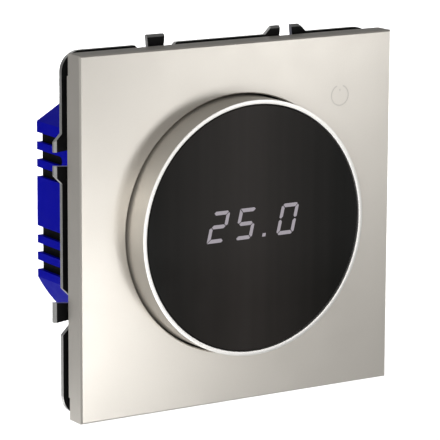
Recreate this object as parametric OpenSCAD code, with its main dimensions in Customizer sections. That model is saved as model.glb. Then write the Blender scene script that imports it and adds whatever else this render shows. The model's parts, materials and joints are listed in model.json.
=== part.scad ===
// Flush-mounted room thermostat: an insert that sits in a round wall box, and a plug-on front module
// with a square metal plate and a rotary push knob around a fixed black display.
// X runs to the right, Y runs into the wall and Z is up. The wall surface is the plane y = 0, and it is
// the rear face of the sheet-metal support frame. All sizes are in millimetres.

/* [Front plate] */
// Side length of the square front plate
plate_size = 71; // [70:0.5:72]
// Distance of the plate's front face from the wall
plate_front = 7.9; // [7.9:0.1:8.2]
// Depth of the plate's visible side
plate_depth = 4.87; // [4.6:0.01:5]
// Thickness of the plate's face
plate_wall = 1.8; // [1.6:0.1:1.8]
// Radius of the hole for the knob
plate_hole_r = 25.6; // [25.5:0.05:26]
// Chamfer on the plate's front edges
plate_chamfer = 0.3; // [0.1:0.05:0.5]

/* [Knob] */
// Outer radius of the knob
knob_r = 25.16; // [25:0.02:25.2]
// Height of the knob's front rim above the plate
knob_height = 5.7; // [5.66:0.02:6.2]
// Width of the bright rim around the display
rim_width = 0.83; // [0.75:0.01:0.9]
// Number of click notches in one turn
notch_count = 24; // [16:4:32]
// Teeth of the internal gear ring
ring_teeth = 64; // [64]
// Teeth of the encoder pinion
pinion_teeth = 16; // [16]
// Gear module
gear_module = 0.65; // [0.65]
// Travel of the knob and display when pressed
push_travel = 0.6; // [0.4:0.1:0.6]

/* [Display] */
// Height of a digit
digit_height = 6.1; // [5.5:0.02:6.6]
// Width of a digit
digit_width = 3.98; // [3.6:0.01:4.2]
// Thickness of a digit segment
segment_width = 0.74; // [0.6:0.02:0.9]
// Gap between two segments
segment_gap = 0.1; // [0.06:0.01:0.16]
// Sideways lean of the digits per unit of height
digit_lean = 0.235; // [0:0.005:0.3]

/* [Support frame] */
// Thickness of the sheet metal
sheet_t = 0.95; // [0.8:0.05:1.2]
// Distance between two opposite box screws
screw_spacing = 60; // [60]
// Half-width of a box screw slot
slot_r = 1.7; // [1.6:0.1:1.8]
// End-to-end length of a box screw slot
slot_length = 5.4; // [5:0.1:5.6]

/* [Housing] */
// Depth of the housing behind the wall surface
housing_depth = 26.4; // [26.2:0.1:28]
// Half-width across the housing's flat sides
housing_half = 26; // [25.8:0.1:26.2]
// Radius of the housing's lower corners
housing_r = 29.6; // [29.5:0.1:29.8]
// Height of a side vent slot
vent_height = 1.93; // [1.6:0.01:2]
// Distance between neighbouring vent slots
vent_pitch = 3.5; // [3.4:0.05:3.6]
// Length of a side vent slot along the depth
vent_length = 10.3; // [8:0.1:11]

/* [Hidden] */
$fn = 64;
eps = 0.01;
quarter_turns = [0, 90, 180, 270];

// Planes along the depth, front to rear
knob_y = -plate_front - knob_height;
window_y = knob_y + 0.14;
window_t = 1.2;
window_rear = window_y + window_t;
plate_y = -plate_front;
plate_inner = plate_y + plate_wall;
plate_rear = plate_y + plate_depth;
board_y = -10.4;
board_t = 1.2;
board_rear = board_y + board_t;
led_front = board_y - 0.6;
drum_rear = -9.0;
ring_front = -8.2;
ring_rear = -6.0;
base_y = -4.2;
base_t = 1.2;
base_rear = base_y + base_t;
stop_gap = 0.1;
head_base_t = 0.8;
head_base_rear = base_y - push_travel - stop_gap;
head_base_y = head_base_rear - head_base_t;
control_y = 2.0;
control_t = 1.6;
plunger_front = -2.85;
tub_floor = 5.8;
tub_rear = 7.0;
insert_cover_y = 8.0;
insert_cover_t = 1.2;
inner_front = insert_cover_y + insert_cover_t;
power_y = housing_depth - 5.8;
power_t = 1.6;
shell_t = 0.8;
rear_t = 0.6;
shell_floor = housing_depth - rear_t;
inner_rear = shell_floor - 0.05;
inner_t = 1.2;

// Knob and display head
rim_r = knob_r - rim_width;
window_r = rim_r - 0.23;
press_gap = 0.02;
bearing_r = 22.3;
drum_r = bearing_r - 0.08;
drum_inner_r = 20.6;
ring_pitch_r = gear_module * ring_teeth / 2;
pinion_pitch_r = gear_module * pinion_teeth / 2;
pinion_z = -(ring_pitch_r - pinion_pitch_r);
pinion_root = 0.72;
pinion_tip = 0.52;
ring_tip = 0.45;
ring_root = 0.72;
post_circle_r = 15.5;
post_angles = [90, 210, 330];
post_r = 1.5;
post_bore_r = 1.55;
cup_r = 3.6;
cup_inner_r = 2.8;
cup_floor = -0.6;
cup_rear = 0.6;
clip_y = 0.7;
detent_angle = 150;
detent_y = (window_rear + drum_rear) / 2 + 0.6;
core_front = window_rear + 0.4;

// Digits
digit_top = 4.2;
digit_half = digit_width / 2;
digit_middle = digit_top - digit_height / 2 + 0.05;
digit_bottom = digit_top - digit_height;
sharp_cut = 0.02;
joined_cut = 0.6;
free_cut = segment_width;
digit_margin = 0.2;
digit_centres = [-8.55, -2.33, 7.31];
dot_x = 2.46;
dot_z = -1.47;
dot_width = 0.75;
dot_height = 0.66;

// Front module
boss_place = 28.5;
base_half = 33;
tub_half = 21;
tub_cut = 7.5;
tub_t = 1.2;
pillar_x = 15.5;
pillar_z = 9.5;
header_z = 10;
pin_pitch = 2.54;
pin_columns = 5;
pin_side = 0.64;
skirt_t = 1.5;
collar_t = 1.4;
mark_place = 23.35;
mark_r = 2;
mark_line = 0.24;
mark_depth = 0.1;
mark_opening = 1.1;
tick_low = 0.85;
tick_length = 0.45;

// Support frame
outline_half = 35.5;
outline_r = 4;
window_half = 22.3;
window_cut = 8;
tab_place = -14.8;
tab_root = 1.55;
tab_tip = 2;
hook_place = 15;
hook_half = 4.8;
notch_tip = 1.2;
notch_root = 1.65;
tab_height = 1.8;
hook_height = 1.55;
recess_depth = 2.2;
tip_chamfer = 0.45;
rivet_x = 24.1;
rivet_z = 14.5;
rivet_r = 0.9;

// Housing and terminals
chamfer_start = 17.5;
chamfer_end = 11.7;
chamfer_slope = (housing_half - chamfer_start) / (housing_half - chamfer_end);
vent_centres = [7.3, -11.64];
terminal_count = 5;
terminal_pitch = 6.2;
terminal_z = -20;
terminal_front = housing_depth - 13.3;
terminal_screw_y = housing_depth - 7.3;
wire_r = 1.8;
varistor_y = power_y - 6.5;
insert_screw_x = 20.3;
insert_screw_z = 13;
insert_screw_low = -12.5;

// ---------- shared shapes ----------

// Extrudes a drawing in the X-Z plane from y = front to y = rear
module span_y(front, rear) {
    translate([0, rear, 0]) rotate([90, 0, 0]) linear_extrude(rear - front) children();
}

// Extrudes a drawing given as (y, z) points from x = low to x = high
module span_x(low, high) {
    translate([low, 0, 0]) rotate([90, 0, 90]) linear_extrude(high - low) children();
}

// Round bar along Y
module rod(front, rear, r, x = 0, z = 0) {
    translate([x, 0, z]) span_y(front, rear) circle(r = r);
}

// Tube along Y
module tube(front, rear, r_out, r_in) {
    span_y(front, rear) difference() {
        circle(r = r_out);
        circle(r = r_in);
    }
}

// Turns a profile of (radius, y) points around the Y axis
module turn(points) {
    rotate([-90, 0, 0]) rotate_extrude() polygon(points);
}

// Box given by its middle in X and Z and its front and rear planes
module block(x, z, width, height, front, rear) {
    translate([x - width / 2, front, z - height / 2]) cube([width, rear - front, height]);
}

// Square with its corners cut off at 45 degrees
module cut_square(half, cut) {
    polygon([
        [half, half - cut], [half - cut, half], [cut - half, half], [-half, half - cut],
        [-half, cut - half], [cut - half, -half], [half - cut, -half], [half, cut - half]
    ]);
}

// Square with round corners
module round_square(half, r) {
    square([2 * half, 2 * (half - r)], center = true);
    square([2 * (half - r), 2 * half], center = true);
    for (x = [-1, 1], z = [-1, 1]) translate([x * (half - r), z * (half - r)]) circle(r = r);
}

// Puts its children at the three guide posts
module at_posts() {
    for (a = post_angles) translate([post_circle_r * cos(a), 0, post_circle_r * sin(a)]) children();
}

// Puts its children at the four corner screws of the front module
module at_bosses() {
    for (x = [-1, 1], z = [-1, 1]) translate([x * boss_place, 0, z * boss_place]) children();
}

// Puts its children at the two pillars of the front module
module at_pillars() {
    for (x = [-1, 1]) translate([x * pillar_x, 0, pillar_z]) children();
}

// Puts its children at the ten pins of the plug connection
module at_pins() {
    for (i = [0:pin_columns - 1], row = [-0.5, 0.5])
        translate([(i - (pin_columns - 1) / 2) * pin_pitch, 0, header_z + row * pin_pitch]) children();
}

// Puts its children at the four fixing places inside the insert
module at_insert_screws() {
    for (x = [-1, 1], z = [insert_screw_low, insert_screw_z])
        translate([x * insert_screw_x, 0, z]) children();
}

// Puts its children at the five terminals
module at_terminals() {
    for (i = [0:terminal_count - 1])
        translate([(i - (terminal_count - 1) / 2) * terminal_pitch, 0, 0]) children();
}

// Slot that lets the ribbon cable through a floor
module ribbon_slot(front, rear) {
    block(9, 0, 2.4, 8, front - 1, rear + 1);
}

// Screw along Y with a cross recess: its head spans from the seat to the head's end
module screw(seat, head_end, tip, head_r, shank_r) {
    difference() {
        union() {
            rod(min(seat, head_end), max(seat, head_end), head_r);
            rod(min(seat, tip), max(seat, tip), shank_r);
        }
        recess_end = head_end + (seat - head_end) * 0.6;
        front = min(head_end, recess_end) - eps;
        rear = max(head_end, recess_end) + eps;
        for (a = [0, 90]) rotate([0, a, 0]) block(0, 0, head_r * 1.2, 0.4, front, rear);
    }
}

// Wound wire spring along Y with round turns
module coil_spring(front, rear, coil_r, wire, turns) {
    steps = round(14 * turns);
    sides = 8;
    points = [for (i = [0:steps], j = [0:sides - 1])
        let (a = 360 * turns * i / steps, b = 360 * j / sides, r = coil_r + wire * cos(b))
        [r * cos(a), front + wire + (rear - front - 2 * wire) * i / steps + wire * sin(b), r * sin(a)]];
    walls = [for (i = [0:steps - 1], j = [0:sides - 1])
        let (near = i * sides, far = near + sides, k = (j + 1) % sides)
        each [[near + j, far + k, near + k], [near + j, far + j, far + k]]];
    ends = [[for (j = [0:sides - 1]) j], [for (j = [sides - 1:-1:0]) steps * sides + j]];
    polyhedron(points = points, faces = concat(walls, ends));
}

// Involute gear outline; slack is the angle taken off each flank
function involute_turn(base, r) = let (a = acos(min(1, base / r))) tan(a) * 180 / PI - a;
function gear_outline(teeth, pitch_r, low_r, high_r, slack) =
    let (base = pitch_r * cos(20), steps = 4, middle = 90 / teeth + involute_turn(base, pitch_r) - slack)
    [for (i = [0:teeth - 1], side = [-1, 1], k = [0:steps])
        let (
            share = (side < 0 ? k : steps - k) / steps,
            r = low_r + (high_r - low_r) * share,
            a = 360 * i / teeth + side * (middle - involute_turn(base, max(r, base)))
        ) [r * cos(a), r * sin(a)]];

// Outline of the housing: flat sides, two sloping upper corners and round lower corners
module housing_outline(inset) {
    half = housing_half - inset;
    slope_drop = inset * (sqrt(1 + chamfer_slope * chamfer_slope) - chamfer_slope);
    slope_gain = inset * (sqrt(1 + chamfer_slope * chamfer_slope) - 1) / chamfer_slope;
    start = chamfer_start - slope_drop;
    end = chamfer_end - slope_gain;
    intersection() {
        circle(r = housing_r - inset, $fn = 96);
        translate([-half, -half]) square([2 * half, half + 1]);
    }
    polygon([[-half, 0], [half, 0], [half, start], [end, half], [-end, half], [-half, start]]);
}

// One segment bar of a digit, as points in the digit's upright frame
function bars(name) = let (
        w = digit_half, t = segment_width, g = segment_gap, top = digit_top, mid = digit_middle,
        low = digit_bottom, half_t = segment_width / 2
    )
    name == "top" ? [[-w + g, top], [w - g, top], [w - t - g, top - t], [-w + t + g, top - t]] :
    name == "bottom" ? [[-w + g, low], [w - g, low], [w - t - g, low + t], [-w + t + g, low + t]] :
    name == "middle" ? [[-w + half_t + g, mid], [-w + t + g, mid + half_t], [w - t - g, mid + half_t],
        [w - half_t - g, mid], [w - t - g, mid - half_t], [-w + t + g, mid - half_t]] :
    name == "upper_left" ? [[-w, top - g], [-w + t, top - t - g], [-w + t, mid + half_t + g],
        [-w + half_t, mid + g], [-w, mid + half_t * 0.6 + g]] :
    name == "upper_right" ? [[w, top - g], [w - t, top - t - g], [w - t, mid + half_t + g],
        [w - half_t, mid + g], [w, mid + half_t * 0.6 + g]] :
    name == "lower_left" ? [[-w, low + g], [-w + t, low + t + g], [-w + t, mid - half_t - g],
        [-w + half_t, mid - g], [-w, mid - half_t * 0.6 - g]] :
    [[w, low + g], [w - t, low + t + g], [w - t, mid - half_t - g],
        [w - half_t, mid - g], [w, mid - half_t * 0.6 - g]];

// Leans the points of a digit and moves them to the digit's centre
function lean(points, centre) = [for (p = points) [centre + p[0] + digit_lean * p[1], p[1]]];

// Outer shape of a digit. cuts gives its corner cuts: top left, top right, bottom right, bottom left
module digit_outline(centre, cuts) {
    w = digit_half;
    high = digit_top;
    low = digit_bottom;
    polygon(lean([
        [-w, high - cuts[0]], [-w + cuts[0], high], [w - cuts[1], high], [w, high - cuts[1]],
        [w, low + cuts[2]], [w - cuts[2], low], [-w + cuts[3], low], [-w, low + cuts[3]]
    ], centre));
}

// One digit made of the named bars
module digit(centre, names, cuts) {
    intersection() {
        for (name = names) polygon(lean(bars(name), centre));
        digit_outline(centre, cuts);
    }
}

// The digits 2, 5 and 0 with the point between the last two
module display_drawing() {
    digit(digit_centres[0], ["top", "upper_right", "middle", "lower_left", "bottom"],
        [free_cut, joined_cut, free_cut, sharp_cut]);
    digit(digit_centres[1], ["top", "upper_left", "middle", "lower_right", "bottom"],
        [sharp_cut, free_cut, joined_cut, free_cut]);
    digit(digit_centres[2], ["top", "upper_right", "lower_right", "bottom", "lower_left", "upper_left"],
        [joined_cut, joined_cut, joined_cut, joined_cut]);
    w = dot_width / 2;
    low = dot_z - dot_height / 2;
    high = dot_z + dot_height / 2;
    polygon(lean([[-w, low], [w, low], [w, high], [-w, high]], dot_x));
}

// Standby symbol: a ring that is open at the top, with a short line in the opening
module mark_drawing() {
    translate([mark_place, mark_place]) {
        difference() {
            circle(r = mark_r + mark_line / 2);
            circle(r = mark_r - mark_line / 2);
            polygon([[0, 0], [-mark_opening, 3], [mark_opening, 3]]);
        }
        translate([-mark_line / 2, tick_low]) square([mark_line, tick_length]);
    }
}

// ---------- front module: fixed parts ----------

module front_plate() {
    chamfer_side = plate_chamfer * sqrt(2);
    color([0.86, 0.83, 0.79]) difference() {
        union() {
            difference() {
                span_y(plate_y, plate_rear) square(plate_size, center = true);
                span_y(plate_inner, plate_rear + 1) square(plate_size - 2 * skirt_t, center = true);
            }
            tube(plate_inner, plate_inner + 0.8, plate_hole_r + collar_t, plate_hole_r);
            at_bosses() rod(plate_inner, base_y, 2.6);
        }
        rod(plate_y - 1, plate_rear + 1, plate_hole_r);
        // chamfer round the knob hole
        turn([
            [plate_hole_r - 1, plate_y - 1], [plate_hole_r + 1.2, plate_y - 1],
            [plate_hole_r, plate_y + 0.2], [plate_hole_r - 1, plate_y + 0.2]
        ]);
        at_bosses() rod(plate_y + 0.8, base_y + 1, 0.9);
        // chamfer along the four front edges
        for (a = quarter_turns) rotate([0, a, 0]) translate([plate_size / 2, plate_y, 0])
            rotate([0, 0, 45]) cube([chamfer_side, chamfer_side, plate_size + 2], center = true);
        // the skirt is a little shallower near the corners of the two upright sides
        for (z = [-1, 1])
            block(0, z * (plate_size / 2 - 2), plate_size + 2, 4.6, plate_rear - 0.4, plate_rear + 1);
        span_y(plate_y - 1, plate_y + mark_depth) mark_drawing();
    }
}

module standby_mark() {
    color([0.72, 0.69, 0.66]) span_y(plate_y, plate_y + mark_depth) mark_drawing();
}

module module_base() {
    color([0.07, 0.07, 0.07]) difference() {
        union() {
            span_y(base_y, base_rear) cut_square(base_half, 2);
            at_posts() rod(base_y, cup_rear, cup_r);
            at_pillars() rod(base_rear, tub_floor, 2);
        }
        at_posts() {
            rod(base_y - 1, cup_floor, cup_inner_r);
            rod(base_y - 1, cup_rear + 1, post_bore_r);
        }
        at_pillars() rod(1.5, tub_floor + 1, 0.85);
        rod(base_y - 1, base_rear + 1, 2.6);
        at_bosses() rod(base_y - 1, base_rear + 1, 1.15);
        ribbon_slot(base_y, base_rear);
    }
}

module module_rear_cover() {
    color([0.08, 0.08, 0.09]) difference() {
        span_y(base_rear, tub_rear) cut_square(tub_half, tub_cut);
        span_y(base_rear - 1, tub_floor) cut_square(tub_half - tub_t, tub_cut - 0.6 * tub_t);
        block(0, header_z, 13.8, 5.8, tub_floor - 1, tub_rear + 1);
        at_pillars() rod(tub_floor - 1, tub_rear + 1, 1.1);
        // air slots for the room sensor
        for (i = [-2:2]) block(i * 3, -14, 1.4, 7, tub_floor - 1, tub_rear + 1);
    }
}

module base_screws() {
    color([0.62, 0.62, 0.64]) at_bosses() screw(base_rear, base_rear + 0.9, plate_y + 1.2, 1.9, 0.88);
}

module cover_screws() {
    color([0.62, 0.62, 0.64]) at_pillars() screw(tub_rear, tub_rear + 0.75, 2.2, 1.7, 0.83);
}

module control_board() {
    color([0.07, 0.28, 0.16]) difference() {
        span_y(control_y, control_y + control_t) cut_square(tub_half - tub_t - 0.3, tub_cut);
        at_pillars() rod(control_y - 1, control_y + control_t + 1, 2.3);
        at_pins() rod(control_y - 1, control_y + control_t + 1, 0.47);
    }
}

module controller_chip() {
    color([0.1, 0.1, 0.11]) block(-8, 3, 7, 7, control_y - 1.1, control_y);
}

module room_sensor() {
    color([0.12, 0.1, 0.1]) {
        rod(control_y - 2.2, control_y, 1.1, 0, -15.5);
        block(0, -15.5, 3.4, 1.6, control_y - 0.5, control_y);
    }
}

module pin_header() {
    color([0.75, 0.65, 0.35]) {
        block(0, header_z, 13.2, 5.2, control_y + control_t, tub_floor + 0.3);
        at_pins() block(0, 0, pin_side, pin_side, control_y - 0.3, 14);
    }
}

module push_switch() {
    color([0.16, 0.16, 0.17]) difference() {
        union() {
            block(0, 0, 6, 6, -1.5, control_y);
            rod(-1.8, -1.4, 2.3);
        }
        rod(-3, 0.3, 1.65);
    }
}

module switch_plunger() {
    color([0.85, 0.85, 0.82]) rod(plunger_front, -0.6, 1.6);
}

// ---------- display head: moves with the knob when it is pressed ----------

module display_window() {
    color([0.05, 0.05, 0.055]) difference() {
        turn([
            [0, window_y], [window_r - 0.15, window_y], [window_r, window_y + 0.15],
            [window_r, window_rear], [0, window_rear]
        ]);
        span_y(window_y - 1, window_rear + 1) display_drawing();
    }
}

module digit_segments() {
    color([0.66, 0.62, 0.66]) span_y(window_y, led_front) display_drawing();
}

module display_carrier() {
    color([0.09, 0.09, 0.1]) difference() {
        union() {
            rod(window_rear, window_rear + 1.2, drum_r);
            tube(window_rear + 1.2 - eps, drum_rear, drum_r, drum_inner_r);
            at_posts() rod(window_rear + 1.2 - eps, head_base_y, 2.4);
        }
        at_posts() rod(-8.4, head_base_y + 1, 0.85);
        for (centre = digit_centres) digit_opening(centre);
        block(dot_x + digit_lean * dot_z, dot_z, 1.6, 1.6, window_rear - 1, window_rear + 2);
        rotate([0, -detent_angle, 0]) translate([0, detent_y, 0]) rotate([0, 90, 0])
            translate([0, 0, drum_inner_r - 1]) cylinder(r = 0.75, h = 4);
    }
}

// Opening behind one digit
module digit_opening(centre) {
    w = digit_half + digit_margin;
    low = digit_bottom - digit_margin;
    high = digit_top + digit_margin;
    span_y(window_rear - 1, window_rear + 2)
        polygon(lean([[-w, low], [w, low], [w, high], [-w, high]], centre));
}

module display_board() {
    color([0.08, 0.3, 0.17]) difference() {
        rod(board_y, board_rear, drum_inner_r - 0.4);
        at_posts() rod(board_y - 1, board_rear + 1, 2.6);
        rotate([0, -detent_angle, 0]) block(19.3, 0, 3, 3, board_y - 1, board_rear + 1);
    }
}

module segment_leds() {
    color([0.88, 0.86, 0.7]) {
        for (centre = digit_centres)
            block(centre + digit_lean * (digit_top + digit_bottom) / 2, (digit_top + digit_bottom) / 2,
                digit_width + 1, digit_height, led_front, board_y);
        block(dot_x + digit_lean * dot_z, dot_z, 1.4, 1.4, led_front, board_y);
    }
}

module driver_chip() {
    color([0.1, 0.1, 0.11]) block(-9, 3, 6, 9, board_rear, board_rear + 1.2);
}

module encoder_body() {
    color([0.2, 0.2, 0.22]) difference() {
        union() {
            block(0, pinion_z + 3, 11, 8, board_rear, -7.9);
            rod(board_rear, -7.9, 4.2, 0, pinion_z);
        }
        rod(-8.9, -7, 1.05, 0, pinion_z);
    }
}

module encoder_pinion() {
    color([0.9, 0.88, 0.8]) translate([0, 0, pinion_z]) {
        span_y(-7.6, -6.1)
            polygon(gear_outline(
                pinion_teeth, pinion_pitch_r, pinion_pitch_r - pinion_root, pinion_pitch_r + pinion_tip, 0.35
            ));
        rod(-8.8, -7.5, 1);
    }
}

module detent_ball() {
    color([0.8, 0.8, 0.82]) rotate([0, -detent_angle, 0])
        translate([bearing_r - 0.03 - 0.6, detent_y, 0]) sphere(r = 0.6);
}

module detent_spring() {
    color([0.7, 0.7, 0.72]) rotate([0, -detent_angle, 0]) translate([0, detent_y, 0]) rotate([0, 0, -90])
        coil_spring(drum_inner_r - 1.4, bearing_r - 1.3, 0.42, 0.1, 4);
}

module head_base() {
    color([0.1, 0.1, 0.1]) difference() {
        union() {
            rod(head_base_y, head_base_rear, 23.9);
            rod(head_base_rear - eps, plunger_front - 0.05, 1.8);
        }
        at_posts() rod(head_base_y - 1, head_base_rear + 1, 0.86);
        ribbon_slot(head_base_y, head_base_rear);
    }
}

module guide_posts() {
    color([0.68, 0.68, 0.7]) at_posts() {
        rod(head_base_rear, cup_rear + 0.1, post_r);
        rod(-7.6, head_base_rear + eps, 0.84);
        rod(cup_rear + 0.1 - eps, clip_y + 0.5, 1);
    }
}

module head_screws() {
    color([0.62, 0.62, 0.64]) for (a = [30, 150, 270])
        translate([11 * cos(a), 0, 11 * sin(a)]) rod(window_rear + 1.2, board_y, 1.2);
}

module return_springs() {
    color([0.72, 0.72, 0.74]) at_posts() coil_spring(head_base_rear, cup_floor, 2.2, 0.22, 4.5);
}

module post_clips() {
    color([0.55, 0.55, 0.57]) at_posts() tube(clip_y, clip_y + 0.4, 2.3, 1);
}

// Flat cable from the display board through both slots to the control board
module ribbon_cable() {
    t = 0.12;
    rear = control_y;
    width = 6;
    color([0.85, 0.6, 0.25]) translate([0, 0, -width / 2]) linear_extrude(width) polygon([
        [7, board_rear], [8.6, board_rear], [8.6 + t, board_rear + t],
        [9 + t, base_rear], [10, rear - 1], [12, rear - t], [13, rear - t], [13, rear], [11.9, rear],
        [9.8, rear - 1], [9, base_rear], [8.6, board_rear + 2 * t], [7, board_rear + t]
    ]);
}

// ---------- knob ----------

module knob_ring() {
    color([0.8, 0.77, 0.73]) turn([
        [rim_r + 0.1, knob_y], [knob_r - 0.18, knob_y], [knob_r, knob_y + 0.18], [knob_r, ring_rear],
        [rim_r, ring_rear], [rim_r, knob_y + 0.1]
    ]);
}

module knob_core() {
    color([0.12, 0.12, 0.13]) difference() {
        tube(core_front, ring_front, rim_r - press_gap, bearing_r);
        for (i = [0:notch_count - 1]) rotate([0, 360 * i / notch_count, 0])
            rod(detent_y - 0.7, ring_front + 1, 0.45, bearing_r + 0.1, 0);
    }
}

module encoder_gear_ring() {
    color([0.88, 0.86, 0.78]) span_y(ring_front, ring_rear) difference() {
        circle(r = rim_r - press_gap);
        polygon(gear_outline(
            ring_teeth, ring_pitch_r, ring_pitch_r - ring_tip, ring_pitch_r + ring_root, -0.09
        ));
    }
}

// ---------- insert: support frame ----------

// Recess and dovetail tab, drawn for the top side
module recess_drawing() {
    translate([tab_place, outline_half]) polygon([
        [-4.6 - 1, 1], [-4.6, 0], [-4.6 + recess_depth, -recess_depth], [4.6 - recess_depth, -recess_depth],
        [4.6, 0], [4.6 + 1, 1]
    ]);
}

module tab_drawing() {
    translate([tab_place, outline_half])
        polygon([
            [-tab_root, -recess_depth - eps], [tab_root, -recess_depth - eps],
            [tab_tip, tab_height], [-tab_tip, tab_height]
        ]);
}

// Pair of hooks and the flared notch between them, drawn for the top side
module hook_drawing() {
    translate([hook_place, outline_half]) polygon([
        [-hook_half, 0], [-hook_half, -1], [hook_half, -1], [hook_half, 0],
        [hook_half - hook_height, hook_height], [hook_height - hook_half, hook_height]
    ]);
}

module notch_drawing() {
    top = hook_height + 1;
    translate([hook_place, outline_half])
        polygon([
            [-notch_tip, top], [-notch_root, -recess_depth], [notch_root, -recess_depth], [notch_tip, top]
        ]);
}

module sheet_drawing() {
    difference() {
        union() {
            difference() {
                round_square(outline_half, outline_r);
                for (a = quarter_turns) rotate(a) recess_drawing();
            }
            for (a = quarter_turns) rotate(a) {
                tab_drawing();
                hook_drawing();
            }
        }
        for (a = quarter_turns) rotate(a) notch_drawing();
        cut_square(window_half, window_cut);
        for (a = quarter_turns) rotate(a) slot_drawing();
        for (x = [-1, 1], z = [-1, 1]) translate([x * rivet_x, z * rivet_z]) circle(r = rivet_r);
    }
}

// Slot for one box screw, on the right-hand side
module slot_drawing() {
    translate([screw_spacing / 2, 0]) {
        square([slot_length - 2 * slot_r, 2 * slot_r], center = true);
        for (side = [-1, 1]) translate([side * (slot_length / 2 - slot_r), 0]) circle(r = slot_r);
    }
}

module support_frame() {
    color([0.25, 0.25, 0.26]) difference() {
        span_y(-sheet_t, 0) sheet_drawing();
        // chamfered front edges of the tabs and hooks
        for (a = quarter_turns) rotate([0, a, 0]) {
            tip_cut(tab_place, 3, outline_half + tab_height);
            tip_cut(hook_place, 6, outline_half + hook_height);
        }
    }
}

module tip_cut(place, half, height) {
    translate([0, -sheet_t, height]) span_x(place - half, place + half)
        polygon([[-1, 1], [-1, -tip_chamfer - 1], [tip_chamfer + 1, 1]]);
}

module frame_rivets() {
    color([0.03, 0.05, 0.5]) for (x = [-1, 1], z = [-1, 1]) translate([x * rivet_x, 0, z * rivet_z]) {
        rod(-sheet_t, 4, rivet_r - press_gap);
        head = -sheet_t - 0.55;
        turn([[0, head], [0.9, head], [1.45, -sheet_t - 0.1], [1.45, -sheet_t], [0, -sheet_t]]);
    }
}

// ---------- insert: housing ----------

// One vent slot through a side wall and round the rear corner
module vent(side, z) {
    front = housing_depth - vent_length;
    r = vent_height / 2;
    x = side * (housing_half - 1);
    block(x, z, 2.6, vent_height, front + r, housing_depth + 1);
    translate([x - 1.3, front + r, z]) rotate([0, 90, 0]) cylinder(r = r, h = 2.6);
}

module housing() {
    color([0.03, 0.04, 0.6]) difference() {
        union() {
            difference() {
                span_y(0, housing_depth) housing_outline(0);
                span_y(-1, shell_floor) housing_outline(shell_t);
            }
            // lugs that take the rivets
            span_y(0, 5) intersection() {
                housing_outline(0.4);
                for (x = [-1, 1], z = [-1, 1])
                    translate([x * rivet_x, z * rivet_z]) square([3, 3.2], center = true);
            }
        }
        for (side = [-1, 1], first = vent_centres, i = [0:2]) vent(side, first + i * vent_pitch);
        for (x = [-1, 1], z = [-1, 1]) rod(-1, 4, rivet_r, x * rivet_x, z * rivet_z);
        at_terminals() {
            rod(shell_floor - 1, housing_depth + 1, wire_r, 0, terminal_z);
            translate([0, terminal_screw_y, -housing_half - 1]) cylinder(r = 2.2, h = 4);
        }
    }
}

module inner_body() {
    inset = shell_t + 0.1;
    color([0.05, 0.05, 0.055]) difference() {
        union() {
            difference() {
                span_y(inner_front, inner_rear) housing_outline(inset);
                span_y(inner_front - 1, inner_rear - inner_t) housing_outline(inset + inner_t);
            }
            at_insert_screws() rod(inner_front, inner_rear - inner_t + eps, 2.2);
        }
        at_insert_screws() rod(inner_front - 1, inner_front + 7, 0.85);
        at_terminals() {
            rod(inner_rear - inner_t - 1, inner_rear + 1, wire_r, 0, terminal_z);
            translate([0, terminal_screw_y, -housing_half]) cylinder(r = 2.2, h = 4);
        }
    }
}

module insert_cover() {
    color([0.09, 0.09, 0.1]) difference() {
        span_y(insert_cover_y, inner_front) housing_outline(shell_t + 0.1);
        block(0, header_z, 14.8, 7, insert_cover_y - 1, inner_front + 1);
        at_insert_screws() rod(insert_cover_y - 1, inner_front + 1, 1.1);
        for (i = [-3:3]) block(i * 4, -4, 2, 12, insert_cover_y - 1, inner_front + 1);
    }
}

module insert_screws() {
    color([0.62, 0.62, 0.64]) at_insert_screws()
        screw(insert_cover_y, insert_cover_y - 0.75, inner_front + 6.5, 1.8, 0.83);
}

// Leaf springs that grip the sides of the front module's rear cover
module clamp_springs() {
    width = 10;
    color([0.7, 0.68, 0.6]) for (side = [0, 1]) mirror([side, 0, 0]) translate([0, 0, -width / 2])
        linear_extrude(width) polygon([
            [21.9, 1.2], [22.15, 1.1], [21.6, 4.2], [22.1, 7.7],
            [23.6, 7.7], [23.6, 8], [21.85, 8], [21.3, 4.2]
        ]);
}

module power_board() {
    top_cut = 11;
    color([0.62, 0.5, 0.26]) difference() {
        span_y(power_y, power_y + power_t) polygon([
            [-23, -14], [-21.8, -15.4], [21.8, -15.4], [23, -14], [23, 15], [23 - top_cut, 22.6],
            [top_cut - 23, 22.6], [-23, 15]
        ]);
        at_insert_screws() rod(power_y - 1, power_y + power_t + 1, 2.5);
        at_pins() rod(power_y - 1, power_y + power_t + 1, 0.47);
    }
}

module socket_connector() {
    color([0.1, 0.1, 0.11]) difference() {
        union() {
            block(0, header_z, 14.2, 6.4, 7.8, 16);
            at_pins() block(0, 0, pin_side, pin_side, 16 - eps, power_y + power_t + 0.8);
        }
        at_pins() block(0, 0, pin_side + 0.16, pin_side + 0.16, 7, 14.6);
    }
}

module relay() {
    color([0.05, 0.12, 0.35]) {
        block(-7, -8, 20, 10, 10.4, power_y);
        block(-7, -8, 18.8, 8.8, 10.1, 10.4);
    }
}

module power_converter() {
    color([0.12, 0.12, 0.13]) {
        block(11.4, -3.8, 13, 16, 12, power_y);
        block(11.4, -3.8, 11, 14, 11.6, 12);
    }
}

module filter_capacitor() {
    color([0.85, 0.7, 0.1]) block(-15.3, 5.5, 12, 6, 12.5, power_y);
}

// Upright can with a rolled edge
module bulk_capacitor() {
    r = 4;
    front = 12.5;
    color([0.1, 0.12, 0.35]) translate([-6, 0, 18]) turn([
        [0, front], [r - 0.6, front], [r - 0.2, front + 0.4], [r, front + 1], [r - 0.25, front + 1.6],
        [r, front + 2.2], [r, power_y], [0, power_y]
    ]);
}

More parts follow.
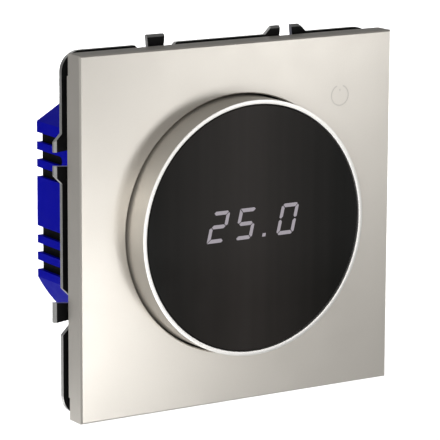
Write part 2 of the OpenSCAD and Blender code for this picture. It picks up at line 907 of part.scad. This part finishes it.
module varistor() {
    color([0.1, 0.25, 0.6]) translate([6.5, varistor_y, 18.3]) rotate([90, 0, 0]) rotate([0, 90, 0]) {
        cylinder(r = 4, h = 3.2, center = true);
        for (side = [-1, 1]) translate([2, 0, 0]) rotate([0, 90, 0])
            translate([side * 0.8, side * 2.2, 0]) cylinder(r = 0.3, h = power_y - varistor_y - 2);
    }
}

module fuse() {
    color([0.6, 0.6, 0.55]) translate([15, 0, 9]) rod(14.5, power_y, 3);
}

module terminal_block() {
    width = terminal_count * terminal_pitch + 0.6;
    rear = inner_rear - inner_t - 0.05;
    color([0.25, 0.25, 0.27]) difference() {
        intersection() {
            block(0, terminal_z, width, 7, terminal_front, rear);
            span_y(terminal_front - 1, rear + 1) housing_outline(shell_t + inner_t + 0.15);
        }
        at_terminals() {
            block(0, terminal_z, 4.8, 5.6, terminal_front + 1, rear - 1);
            rod(rear - 2, rear + 1, wire_r, 0, terminal_z);
            translate([0, terminal_screw_y, terminal_z - 4]) cylinder(r = 1.5, h = 3);
        }
    }
}

module terminal_cages() {
    color([0.75, 0.68, 0.4]) at_terminals() difference() {
        block(0, terminal_z, 4.6, 5.4, terminal_front + 2, terminal_front + 9);
        rod(terminal_front + 1, terminal_front + 10, wire_r, 0, terminal_z);
        translate([0, terminal_screw_y, terminal_z - 4]) cylinder(r = 1.3, h = 4);
    }
}

module terminal_screws() {
    color([0.7, 0.7, 0.72]) at_terminals() translate([0, terminal_screw_y, 0]) difference() {
        union() {
            translate([0, 0, -25.4]) cylinder(r = 2, h = 1.8);
            translate([0, 0, -23.7]) cylinder(r = 1.25, h = 1.8);
        }
        translate([-3, -0.3, -26]) cube([6, 0.6, 1.2]);
    }
}

front_plate();
standby_mark();
module_base();
module_rear_cover();
base_screws();
cover_screws();
control_board();
controller_chip();
room_sensor();
pin_header();
push_switch();
switch_plunger();
display_window();
digit_segments();
display_carrier();
display_board();
segment_leds();
driver_chip();
encoder_body();
encoder_pinion();
detent_ball();
detent_spring();
head_base();
head_screws();
guide_posts();
return_springs();
post_clips();
ribbon_cable();
knob_ring();
knob_core();
encoder_gear_ring();
support_frame();
frame_rivets();
housing();
inner_body();
insert_cover();
insert_screws();
clamp_springs();
power_board();
socket_connector();
relay();
power_converter();
filter_capacitor();
bulk_capacitor();
varistor();
fuse();
terminal_block();
terminal_cages();
terminal_screws();
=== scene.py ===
import json
import math

import bmesh
import bpy
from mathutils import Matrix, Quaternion, Vector

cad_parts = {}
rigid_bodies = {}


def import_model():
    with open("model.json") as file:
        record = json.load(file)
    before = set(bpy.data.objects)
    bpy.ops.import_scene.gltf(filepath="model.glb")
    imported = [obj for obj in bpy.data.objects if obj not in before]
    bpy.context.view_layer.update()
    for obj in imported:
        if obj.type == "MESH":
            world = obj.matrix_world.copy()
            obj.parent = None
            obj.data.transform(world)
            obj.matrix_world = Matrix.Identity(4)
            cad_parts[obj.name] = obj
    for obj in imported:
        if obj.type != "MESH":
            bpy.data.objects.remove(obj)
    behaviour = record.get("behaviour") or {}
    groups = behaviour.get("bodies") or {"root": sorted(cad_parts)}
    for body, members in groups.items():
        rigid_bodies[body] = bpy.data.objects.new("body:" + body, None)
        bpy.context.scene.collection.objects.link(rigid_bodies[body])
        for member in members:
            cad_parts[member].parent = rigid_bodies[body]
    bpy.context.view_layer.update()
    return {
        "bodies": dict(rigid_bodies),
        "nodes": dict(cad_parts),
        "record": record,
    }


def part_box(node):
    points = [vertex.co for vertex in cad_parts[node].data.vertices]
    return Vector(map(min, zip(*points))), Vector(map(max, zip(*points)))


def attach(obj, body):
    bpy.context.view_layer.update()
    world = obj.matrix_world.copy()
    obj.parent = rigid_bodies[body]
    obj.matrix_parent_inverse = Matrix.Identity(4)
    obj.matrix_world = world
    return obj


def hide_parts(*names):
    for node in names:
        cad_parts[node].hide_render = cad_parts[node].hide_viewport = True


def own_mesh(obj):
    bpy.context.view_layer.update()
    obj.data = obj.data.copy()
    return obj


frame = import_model()
nodes = frame["nodes"]

MM = 0.001


# ---------- places worked out from the frame ----------

plate_low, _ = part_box("front_plate")
ring_low, ring_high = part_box("knob_ring")
window_low, window_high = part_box("display_window")
KNOB_R = (ring_high.x - ring_low.x) / 2
KNOB_FRONT = ring_low.y
KNOB_REAR = ring_high.y
WINDOW_R = (window_high.x - window_low.x) / 2
WINDOW_GAP = 0.23 * MM
RIM_R = WINDOW_R + WINDOW_GAP
KNOB_STEPS = 256
# The three return springs
POST_CIRCLE = 15.5 * MM
POST_ANGLES = (90, 210, 330)
WIRE_R = 0.22 * MM
COIL_R = 2.2 * MM
COIL_TURNS = 4.5
CABLE_THICKNESS = 0.12 * MM
BODY_NAMES = {empty: name for name, empty in frame["bodies"].items()}
BODY_OF = {name: BODY_NAMES[thing.parent] for name, thing in nodes.items()}


# ---------- material helpers ----------

def start_material(name):
    """A new material with its node tree, its shader and the object coordinates in millimetres."""
    material = bpy.data.materials.new(name)
    material.use_nodes = True
    tree = material.node_tree
    shader = tree.nodes["Principled BSDF"]
    coords = tree.nodes.new("ShaderNodeTexCoord")
    scale = tree.nodes.new("ShaderNodeVectorMath")
    scale.operation = "SCALE"
    scale.inputs["Scale"].default_value = 1000
    tree.links.new(coords.outputs["Object"], scale.inputs[0])
    return material, tree, shader, scale.outputs[0]


def stretch(tree, place, factors):
    """The coordinates multiplied by one factor for each axis."""
    node = tree.nodes.new("ShaderNodeVectorMath")
    node.operation = "MULTIPLY"
    node.inputs[1].default_value = factors
    tree.links.new(place, node.inputs[0])
    return node.outputs[0]


def noise(tree, place, size, detail, rough=0.5):
    """Noise with features of about size millimetres."""
    node = tree.nodes.new("ShaderNodeTexNoise")
    node.inputs["Scale"].default_value = 1 / size
    node.inputs["Detail"].default_value = detail
    node.inputs["Roughness"].default_value = rough
    tree.links.new(place, node.inputs["Vector"])
    return node.outputs["Fac"]


def ramp(tree, value, low, high, from_low=0.3, from_high=0.7):
    """Maps a value to the range low to high. Most of a noise lies between 0.3 and 0.7."""
    node = tree.nodes.new("ShaderNodeMapRange")
    node.inputs["From Min"].default_value = from_low
    node.inputs["From Max"].default_value = from_high
    node.inputs["To Min"].default_value = low
    node.inputs["To Max"].default_value = high
    tree.links.new(value, node.inputs["Value"])
    return node.outputs["Result"]


def mix_colour(tree, factor, first, second):
    """Mixes two colours; each is a tuple or a socket."""
    node = tree.nodes.new("ShaderNodeMix")
    node.data_type = "RGBA"
    tree.links.new(factor, node.inputs["Factor"])
    for name, value in (("A", first), ("B", second)):
        socket = [s for s in node.inputs if s.name == name and s.type == "RGBA"][0]
        if isinstance(value, (tuple, list)):
            socket.default_value = (*value, 1)
        else:
            tree.links.new(value, socket)
    return [s for s in node.outputs if s.type == "RGBA"][0]


def combine(tree, operation, first, second):
    """Math on a socket and a socket or a number."""
    node = tree.nodes.new("ShaderNodeMath")
    node.operation = operation
    tree.links.new(first, node.inputs[0])
    if isinstance(second, (int, float)):
        node.inputs[1].default_value = second
    else:
        tree.links.new(second, node.inputs[1])
    return node.outputs[0]


def bump(tree, shader, height, depth_mm):
    """Adds bump of depth_mm for a height from 0 to 1."""
    node = tree.nodes.new("ShaderNodeBump")
    node.inputs["Strength"].default_value = 1
    node.inputs["Distance"].default_value = depth_mm * MM
    tree.links.new(height, node.inputs["Height"])
    tree.links.new(node.outputs["Normal"], shader.inputs["Normal"])


def normal_part(tree, axis):
    """The size of the surface normal's part along one axis, in the object's own coordinates."""
    coords = tree.nodes.new("ShaderNodeTexCoord")
    parts = tree.nodes.new("ShaderNodeSeparateXYZ")
    tree.links.new(coords.outputs["Normal"], parts.inputs[0])
    return combine(tree, "ABSOLUTE", parts.outputs[axis], 0)


def scaled(colour, share):
    """The colour made darker, or lighter for a share above 1."""
    return tuple(c * share for c in colour)


PLASTIC_PATCH = 9.0
METAL_PATCH = 12.0


def plastic(name, colour, roughness, grain=0.12, tint=0.82, coat=0.0, specular=0.5):
    """Moulded plastic: fine spark-eroded grain, slow colour drift and uneven gloss."""
    material, tree, shader, place = start_material(name)
    drift = noise(tree, place, PLASTIC_PATCH, 4)
    colours = mix_colour(tree, ramp(tree, drift, 0, 1), scaled(colour, tint), colour)
    tree.links.new(colours, shader.inputs["Base Color"])
    fine = noise(tree, place, grain, 2)
    uneven = noise(tree, place, PLASTIC_PATCH * 0.35, 5, 0.6)
    tree.links.new(ramp(tree, uneven, roughness * 0.88, roughness * 1.14), shader.inputs["Roughness"])
    bump(tree, shader, fine, 0.004)
    shader.inputs["Specular IOR Level"].default_value = specular
    shader.inputs["Coat Weight"].default_value = coat
    shader.inputs["Coat Roughness"].default_value = 0.12
    return material


def metal(name, colour, roughness, mark_size=0.25, metallic=1.0):
    """Metal with fine working marks and a slow colour drift."""
    material, tree, shader, place = start_material(name)
    marks = noise(tree, place, mark_size, 3, 0.6)
    drift = noise(tree, place, METAL_PATCH, 3)
    colours = mix_colour(tree, ramp(tree, drift, 0, 1), scaled(colour, 0.9), colour)
    tree.links.new(colours, shader.inputs["Base Color"])
    both = combine(tree, "ADD", combine(tree, "MULTIPLY", marks, 0.7), combine(tree, "MULTIPLY", drift, 0.3))
    tree.links.new(ramp(tree, both, roughness * 0.85, roughness * 1.2), shader.inputs["Roughness"])
    bump(tree, shader, marks, 0.003)
    shader.inputs["Metallic"].default_value = metallic
    return material


# ---------- materials ----------

CHAMPAGNE = (0.79, 0.748, 0.68)
# The display's tint is lightest at X = -TINT_SHIFT and darkest TINT_REACH away from there, in millimetres
TINT_SHIFT = 2
TINT_REACH = 22
TINT_MIDDLE = (0.048, 0.0425, 0.0395)
TINT_SIDE = (0.0125, 0.0125, 0.0115)
# The digits' glow in the dim and in the bright grains
GLOW_DIM = (0.34, 0.31, 0.345)
GLOW_BRIGHT = (0.40, 0.365, 0.405)


def champagne_lacquer(name, turned):
    """Satin champagne metal under a thin clear lacquer. Turned gives fine rings round the depth axis."""
    material, tree, shader, place = start_material(name)
    drift = noise(tree, place, 22, 3)
    flake = noise(tree, place, 0.07, 2, 0.7)
    tone = mix_colour(tree, ramp(tree, drift, 0, 1), scaled(CHAMPAGNE, 0.96), CHAMPAGNE)
    sparkle = mix_colour(tree, ramp(tree, flake, 0, 1, 0.35, 0.75), tone, scaled(CHAMPAGNE, 1.06))
    tree.links.new(sparkle, shader.inputs["Base Color"])
    if turned:
        rings = noise(tree, stretch(tree, place, (0.02, 1, 0.02)), 0.11, 3, 0.7)
        share = combine(tree, "MULTIPLY", flake, 0.2)
        height = combine(tree, "ADD", combine(tree, "MULTIPLY", rings, 0.8), share)
        bump(tree, shader, height, 0.0022)
    else:
        bump(tree, shader, flake, 0.0012)
    smudge = noise(tree, place, 7, 5, 0.6)
    tree.links.new(ramp(tree, smudge, 0.28, 0.31), shader.inputs["Roughness"])
    shader.inputs["Metallic"].default_value = 0.55
    shader.inputs["Coat Weight"].default_value = 0.1
    shader.inputs["Coat Roughness"].default_value = 0.25
    return material


def polished_rim():
    """Diamond-cut rim: bright metal with very fine turning lines."""
    material, tree, shader, place = start_material("rim_polished")
    parts = tree.nodes.new("ShaderNodeVectorMath")
    parts.operation = "LENGTH"
    tree.links.new(stretch(tree, place, (1, 0, 1)), parts.inputs[0])
    rings = noise(tree, parts.outputs["Value"], 0.12, 2)
    tree.links.new(ramp(tree, rings, 0.26, 0.34), shader.inputs["Roughness"])
    tone = mix_colour(tree, rings, (0.94, 0.92, 0.88), (0.97, 0.95, 0.91))
    tree.links.new(tone, shader.inputs["Base Color"])
    shader.inputs["Metallic"].default_value = 0.7
    return material


def smoked_window():
    """Smoked polished window: a tint that fades to its sides, faint upright bands and a trace of smudges."""
    material, tree, shader, place = start_material("display_glass")
    parts = tree.nodes.new("ShaderNodeSeparateXYZ")
    tree.links.new(place, parts.inputs[0])
    across = combine(tree, "ABSOLUTE", combine(tree, "ADD", parts.outputs["X"], TINT_SHIFT), 0)
    bands = noise(tree, stretch(tree, place, (1, 1, 0.03)), 2.6, 2)
    fade = combine(tree, "ADD", ramp(tree, across, 0, 0.88, 0, TINT_REACH), ramp(tree, bands, 0, 0.12))
    tree.links.new(mix_colour(tree, fade, TINT_MIDDLE, TINT_SIDE), shader.inputs["Base Color"])
    smudge = noise(tree, place, 6, 6, 0.62)
    tree.links.new(ramp(tree, smudge, 0.1, 0.18), shader.inputs["Roughness"])
    bump(tree, shader, noise(tree, place, 4, 1), 0.0002)
    shader.inputs["IOR"].default_value = 1.49
    shader.inputs["Specular IOR Level"].default_value = 0.06
    return material


def lit_segments():
    """Frosted light guides lit from behind, with a fine grain."""
    material, tree, shader, place = start_material("digit_diffuser")
    grain = noise(tree, place, 0.2, 3)
    glow = mix_colour(tree, ramp(tree, grain, 0, 1), GLOW_DIM, GLOW_BRIGHT)
    unlit = mix_colour(tree, grain, (0.08, 0.075, 0.08), (0.12, 0.11, 0.12))
    tree.links.new(unlit, shader.inputs["Base Color"])
    tree.links.new(glow, shader.inputs["Emission Color"])
    shader.inputs["Emission Strength"].default_value = 0.8
    tree.links.new(ramp(tree, grain, 0.5, 0.65), shader.inputs["Roughness"])
    bump(tree, shader, grain, 0.002)
    return material


def sheet_with_painted_shade():
    """Sheet steel whose front and back faces, across the depth axis, are painted near-black by the way they
    point: a dark coat with painted shade and painted dark reflection on it. Its sheared edges are bare.
    """
    material, tree, shader, place = start_material("frame_steel")
    side = normal_part(tree, 1)
    chip = noise(tree, place, 0.6, 4, 0.6)
    edge_value = combine(tree, "ADD", side, combine(tree, "MULTIPLY", chip, 0.05))
    # painted shade: faces that point along the depth axis get the near-black colour, and side faces stay bare
    # steel
    painted_shade_faces = ramp(tree, edge_value, 0, 1, 0.80, 0.86)
    shear = noise(tree, stretch(tree, place, (1, 0.12, 1)), 0.14, 3, 0.6)
    bare = mix_colour(tree, ramp(tree, shear, 0, 1), (0.54, 0.54, 0.53), (0.64, 0.64, 0.62))
    drift = noise(tree, place, 5, 4)
    # near-black colour on the front and back faces: a dark coat with painted shade and painted dark
    # reflection
    coat = mix_colour(tree, ramp(tree, drift, 0, 1), (0.006, 0.006, 0.006), (0.011, 0.011, 0.0112))
    tree.links.new(mix_colour(tree, painted_shade_faces, bare, coat), shader.inputs["Base Color"])
    tree.links.new(ramp(tree, painted_shade_faces, 0.9, 0.0, 0, 1), shader.inputs["Metallic"])
    tree.links.new(ramp(tree, shear, 0.38, 0.5), shader.inputs["Roughness"])
    shader.inputs["Specular IOR Level"].default_value = 0.2
    bump(tree, shader, combine(tree, "ADD", shear, combine(tree, "MULTIPLY", chip, 0.6)), 0.002)
    return material


def circuit_board(name, mask, copper):
    """Board with copper tracks that show through the lacquer."""
    material, tree, shader, place = start_material(name)
    bricks = tree.nodes.new("ShaderNodeTexBrick")
    bricks.inputs["Scale"].default_value = 0.42
    bricks.inputs["Mortar Size"].default_value = 0.055
    bricks.inputs["Mortar Smooth"].default_value = 0.1
    bricks.inputs["Brick Width"].default_value = 1.7
    bricks.offset = 0.37
    swap = tree.nodes.new("ShaderNodeVectorRotate")
    swap.rotation_type = "X_AXIS"
    swap.inputs["Angle"].default_value = math.pi / 2
    tree.links.new(place, swap.inputs["Vector"])
    tree.links.new(swap.outputs[0], bricks.inputs["Vector"])
    drift = noise(tree, place, 3, 3)
    ground = mix_colour(tree, ramp(tree, drift, 0, 1), scaled(mask, 0.8), mask)
    tree.links.new(mix_colour(tree, bricks.outputs["Fac"], ground, copper), shader.inputs["Base Color"])
    tree.links.new(ramp(tree, drift, 0.28, 0.4), shader.inputs["Roughness"])
    bump(tree, shader, bricks.outputs["Fac"], 0.03)
    return material


def polymer_film(name, colour):
    """Thin polymer film with fine lengthwise conductors."""
    material, tree, shader, place = start_material(name)
    wave = tree.nodes.new("ShaderNodeTexWave")
    wave.bands_direction = "Z"
    wave.inputs["Scale"].default_value = 0.5
    wave.inputs["Distortion"].default_value = 0.2
    tree.links.new(place, wave.inputs["Vector"])
    tone = mix_colour(tree, wave.outputs["Fac"], scaled(colour, 0.55), colour)
    tree.links.new(tone, shader.inputs["Base Color"])
    grain = noise(tree, place, 0.3, 3)
    tree.links.new(ramp(tree, grain, 0.25, 0.38), shader.inputs["Roughness"])
    bump(tree, shader, wave.outputs["Fac"], 0.01)
    return material


MATERIALS = {
    "champagne_metal": champagne_lacquer("champagne_metal", False),
    "knob_metal": champagne_lacquer("knob_metal", True),
    "rim_polished": polished_rim(),
    "engraved_mark": metal("engraved_mark", (0.69, 0.655, 0.60), 0.38, mark_size=0.1, metallic=0.6),
    "black_plastic": plastic("black_plastic", (0.011, 0.011, 0.0115), 0.5),
    "inner_plastic": plastic("inner_plastic", (0.003, 0.003, 0.0032), 0.6, specular=0.1),
    "blue_plastic": plastic(
        "blue_plastic", (0.0010, 0.0025, 0.64), 0.5, grain=0.09, tint=0.88, specular=0.04),
    "display_glass": smoked_window(),
    "digit_diffuser": lit_segments(),
    "led_resin": plastic("led_resin", (0.80, 0.76, 0.52), 0.25, tint=0.9, coat=0.4),
    "zinc_steel": metal("zinc_steel", (0.66, 0.67, 0.69), 0.3),
    "frame_steel": sheet_with_painted_shade(),
    "spring_steel": metal("spring_steel", (0.60, 0.60, 0.61), 0.28, mark_size=0.15),
    "green_board": circuit_board("green_board", (0.008, 0.085, 0.035), (0.02, 0.16, 0.06)),
    "paper_board": circuit_board("paper_board", (0.40, 0.26, 0.09), (0.52, 0.36, 0.15)),
    "chip_epoxy": plastic("chip_epoxy", (0.014, 0.014, 0.015), 0.6, grain=0.06),
    "gold_pin": metal("gold_pin", (0.86, 0.62, 0.26), 0.22),
    "brass": metal("brass", (0.74, 0.55, 0.25), 0.3),
    "white_acetal": plastic("white_acetal", (0.78, 0.76, 0.68), 0.4, tint=0.93),
    "grey_plastic": plastic("grey_plastic", (0.05, 0.05, 0.054), 0.5),
    "polyimide": polymer_film("polyimide", (0.62, 0.28, 0.05)),
    "relay_blue": plastic("relay_blue", (0.008, 0.03, 0.16), 0.45),
    "yellow_case": plastic("yellow_case", (0.72, 0.44, 0.02), 0.35, tint=0.9),
    "can_sleeve": plastic("can_sleeve", (0.012, 0.02, 0.11), 0.25, coat=0.3),
    "blue_lacquer": plastic("blue_lacquer", (0.015, 0.09, 0.36), 0.3, coat=0.3),
    "fuse_case": plastic("fuse_case", (0.22, 0.22, 0.2), 0.4),
}


# ---------- CAD nodes ----------

SLOT_OF = {part["node"]: part["material_slot"] for part in frame["record"]["subparts"]}
SMOOTH_ANGLE = math.radians(28)


def dress_cad_nodes():
    """Gives every CAD node its material and smooth shading across its round faces."""
    for name, thing in nodes.items():
        thing.data.materials.clear()
        thing.data.materials.append(MATERIALS[SLOT_OF[name]])
        thing.data.polygons.foreach_set("use_smooth", [True] * len(thing.data.polygons))
        thing.data.set_sharp_from_angle(angle=SMOOTH_ANGLE)


# ---------- mesh helpers ----------

def add_piece(name, mesh, body, slot_name, *stands_for):
    """A finished mesh as a piece that rides on a body."""
    thing = bpy.data.objects.new(name, mesh)
    bpy.context.scene.collection.objects.link(thing)
    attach(thing, body)
    if stands_for:
        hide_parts(*stands_for)
    return thing


def finished_mesh(name, work):
    """Turns the bmesh's faces outwards and keeps it as a mesh."""
    bmesh.ops.recalc_face_normals(work, faces=work.faces)
    mesh = bpy.data.meshes.new(name)
    work.to_mesh(mesh)
    work.free()
    return mesh


def skin_tube(work, rings, smooth):
    """Joins rings of vertices into a tube with closed ends."""
    for near, far in zip(rings, rings[1:]):
        for j in range(len(near)):
            k = (j + 1) % len(near)
            work.faces.new((near[j], near[k], far[k], far[j])).smooth = smooth
    work.faces.new(rings[0])
    work.faces.new(rings[-1])


def turned_mesh(name, profile, steps):
    """Turns a closed profile of (radius, y, material index of the band that follows) round the depth axis."""
    work = bmesh.new()
    rings = []
    for radius, y, _ in profile:
        rings.append([
            work.verts.new((radius * math.cos(a), y, radius * math.sin(a)))
            for a in (2 * math.pi * i / steps for i in range(steps))
        ])
    for j, (_, _, index) in enumerate(profile):
        near, far = rings[j], rings[(j + 1) % len(rings)]
        for i in range(steps):
            k = (i + 1) % steps
            face = work.faces.new((near[i], near[k], far[k], far[i]))
            face.material_index = index
            face.smooth = True
    return finished_mesh(name, work)


def arc_points(centre, radius, start, end, steps, index):
    """Points of a small arc in a (radius, y) profile, from start to end degrees."""
    points = []
    for i in range(steps + 1):
        a = math.radians(start + (end - start) * i / steps)
        points.append((centre[0] + radius * math.cos(a), centre[1] + radius * math.sin(a), index))
    return points


# ---------- knob ----------

def build_knob():
    """The knob sleeve: satin side wall, a diamond-cut rim and a rolled inner edge."""
    side, rim = 0, 1
    outer_round = 0.06 * MM
    inner_round = 0.05 * MM
    profile = [(RIM_R, KNOB_REAR, side), (KNOB_R, KNOB_REAR, side)]
    profile += arc_points((KNOB_R - outer_round, KNOB_FRONT + outer_round), outer_round, 0, -90, 6, rim)
    profile += arc_points((RIM_R + inner_round, KNOB_FRONT + inner_round), inner_round, -90, -180, 4, rim)
    mesh = turned_mesh("knob_sleeve", profile, KNOB_STEPS)
    mesh.materials.append(MATERIALS["knob_metal"])
    mesh.materials.append(MATERIALS["rim_polished"])
    mesh.set_sharp_from_angle(angle=SMOOTH_ANGLE)
    add_piece("knob_sleeve", mesh, "knob", "knob_metal", "knob_ring")


# ---------- springs and cable -------------------------------------------------

def build_springs():
    """The three return springs as round wound wire."""
    low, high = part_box("return_springs")
    steps, sides = 126, 12
    work = bmesh.new()
    for post in POST_ANGLES:
        centre = (POST_CIRCLE * math.cos(math.radians(post)), POST_CIRCLE * math.sin(math.radians(post)))
        rings = []
        for i in range(steps + 1):
            a = 2 * math.pi * COIL_TURNS * i / steps
            y = low.y + WIRE_R + (high.y - low.y - 2 * WIRE_R) * i / steps
            ring = []
            for j in range(sides):
                b = 2 * math.pi * j / sides
                reach = COIL_R + WIRE_R * math.cos(b)
                x, z = centre[0] + reach * math.cos(a), centre[1] + reach * math.sin(a)
                ring.append(work.verts.new((x, y + WIRE_R * math.sin(b), z)))
            rings.append(ring)
        skin_tube(work, rings, True)
    mesh = finished_mesh("spring_coils", work)
    mesh.materials.append(MATERIALS["spring_steel"])
    piece = add_piece("spring_coils", mesh, BODY_OF["return_springs"], "spring_steel", "return_springs")
    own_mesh(piece)


def build_cable():
    """The flat cable from the display board to the control board, bent into a soft S."""
    low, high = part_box("ribbon_cable")
    start, end = low.y + CABLE_THICKNESS / 2, high.y - CABLE_THICKNESS / 2
    points = [
        (7.0, start), (8.4, start), (8.85, start + 0.5 * MM), (9.0, start + 1.6 * MM),
        (9.05, start + 6.2 * MM), (9.6, end - 2.2 * MM), (10.3, end - 0.6 * MM), (11.4, end), (13.0, end)
    ]
    path = [Vector((x * MM, y)) for x, y in points]
    work = bmesh.new()
    rows = []
    for i, point in enumerate(path):
        before, after = path[max(i - 1, 0)], path[min(i + 1, len(path) - 1)]
        along = (after - before).normalized()
        across = Vector((-along.y, along.x)) * CABLE_THICKNESS / 2
        one, other = point + across, point - across
        corners = ((one, low.z), (one, high.z), (other, high.z), (other, low.z))
        rows.append([work.verts.new((spot.x, spot.y, z)) for spot, z in corners])
    skin_tube(work, rows, False)
    mesh = finished_mesh("flat_cable", work)
    mesh.materials.append(MATERIALS["polyimide"])
    piece = add_piece("flat_cable", mesh, BODY_OF["ribbon_cable"], "polyimide", "ribbon_cable")
    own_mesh(piece)


# ---------- camera, light and floor ----------

def place_camera():
    """A camera without lens shift that stands in for the photograph's, by its turn, height and distance."""
    turn, height, roll = math.radians(32.24), math.radians(11.66), math.radians(0.27)
    distance = 562.0 * MM
    target = Vector((-4.47 * MM, plate_low.y, 1.16 * MM))
    back = Vector((-math.sin(turn) * math.cos(height), -math.cos(turn) * math.cos(height), math.sin(height)))
    camera = bpy.data.objects.new("camera", bpy.data.cameras.new("camera"))
    bpy.context.scene.collection.objects.link(camera)
    camera.location = target + back * distance
    camera.rotation_mode = "QUATERNION"
    camera.rotation_quaternion = (-back).to_track_quat("-Z", "Y") @ Quaternion((0, 0, 1), roll)
    camera.data.sensor_width = 36
    camera.data.lens = 237.2
    camera.data.clip_start = 0.01
    bpy.context.scene.camera = camera


def add_light(name, spot, side, power, spread=180):
    """A square soft box that shines straight down until it is turned."""
    light = bpy.data.lights.new(name, "AREA")
    light.shape = "SQUARE"
    light.size = side
    light.energy = power
    light.spread = math.radians(spread)
    thing = bpy.data.objects.new(name, light)
    bpy.context.scene.collection.objects.link(thing)
    thing.location = spot
    thing.visible_camera = False
    return thing


def place_light(name, azimuth, elevation, distance, side, power):
    """A soft box that looks at the origin. Azimuth 0 is in front of the plate, positive is to its right."""
    a, e = math.radians(azimuth), math.radians(elevation)
    spot = Vector((math.sin(a) * math.cos(e), -math.cos(a) * math.cos(e), math.sin(e))) * distance
    thing = add_light(name, spot, side, power)
    thing.rotation_mode = "QUATERNION"
    thing.rotation_quaternion = (Vector() - spot).to_track_quat("-Z", "Y")


def build_floor():
    """Pale floor below the part."""
    floor_mesh = bpy.data.meshes.new("floor")
    half, level = 6.0, -0.42
    floor_mesh.from_pydata(
        [(-half, -half, level), (half, -half, level), (half, half, level), (-half, half, level)],
        [], [(0, 1, 2, 3)])
    floor = bpy.data.objects.new("floor", floor_mesh)
    bpy.context.scene.collection.objects.link(floor)
    material, tree, shader, place = start_material("pale_floor")
    drift = ramp(tree, noise(tree, place, 300, 3), 0, 1)
    tone = mix_colour(tree, drift, (0.90, 0.90, 0.90), (0.93, 0.93, 0.93))
    tree.links.new(tone, shader.inputs["Base Color"])
    shader.inputs["Roughness"].default_value = 0.9
    floor_mesh.materials.append(material)


def build_surroundings():
    """Plain weak light from all round, and the picture's colours kept as they come."""
    world = bpy.data.worlds.new("studio")
    bpy.context.scene.world = world
    world.use_nodes = True
    world.node_tree.nodes["Background"].inputs["Color"].default_value = (1, 1, 1, 1)
    world.node_tree.nodes["Background"].inputs["Strength"].default_value = 0.12
    bpy.context.scene.view_settings.view_transform = "Standard"


def build_lights():
    """The soft boxes round the part and the light for the floor."""
    # small panels close to the plate, which it mirrors towards the camera as a soft slanting glow
    near, panel = 0.3, 0.065
    place_light("panel_low_left", 5, -27, near, panel, 0.035)
    place_light("panel_low", 12, -17, near, panel, 0.044)
    place_light("panel_low_right", 19, -17, near, panel, 0.046)
    place_light("panel_middle", 26, -7, near, panel, 0.0085)
    place_light("panel_centre", 33, -7, near, panel, 0.0137)
    place_light("panel_high", 33, 3, near, panel, 0.031)
    place_light("panel_high_right", 40, 3, near, panel, 0.0107)
    # low panel behind the left side, for the sides of the plate and the knob
    place_light("panel_rear_left", -148, -32, near, 0.08, 0.08)
    # larger soft boxes round the part
    far, soft = 1.0, 0.5
    place_light("side_left", -90, 0, far, soft, 1.2)
    place_light("front_left", -30, 0, far, soft, 1.83)
    place_light("front_left_high", -50, 20, 0.6, 0.25, 0.34)
    place_light("rear_high", 180, 45, far, soft, 0.8)
    place_light("rear_right", 120, 0, far, soft, 0.5)
    # light for the floor behind the part only
    add_light("floor_light", (1.4, 2.4, 1.4), 3.0, 56, spread=90)


dress_cad_nodes()
build_knob()
build_springs()
build_cable()
place_camera()
build_floor()
build_surroundings()
build_lights()
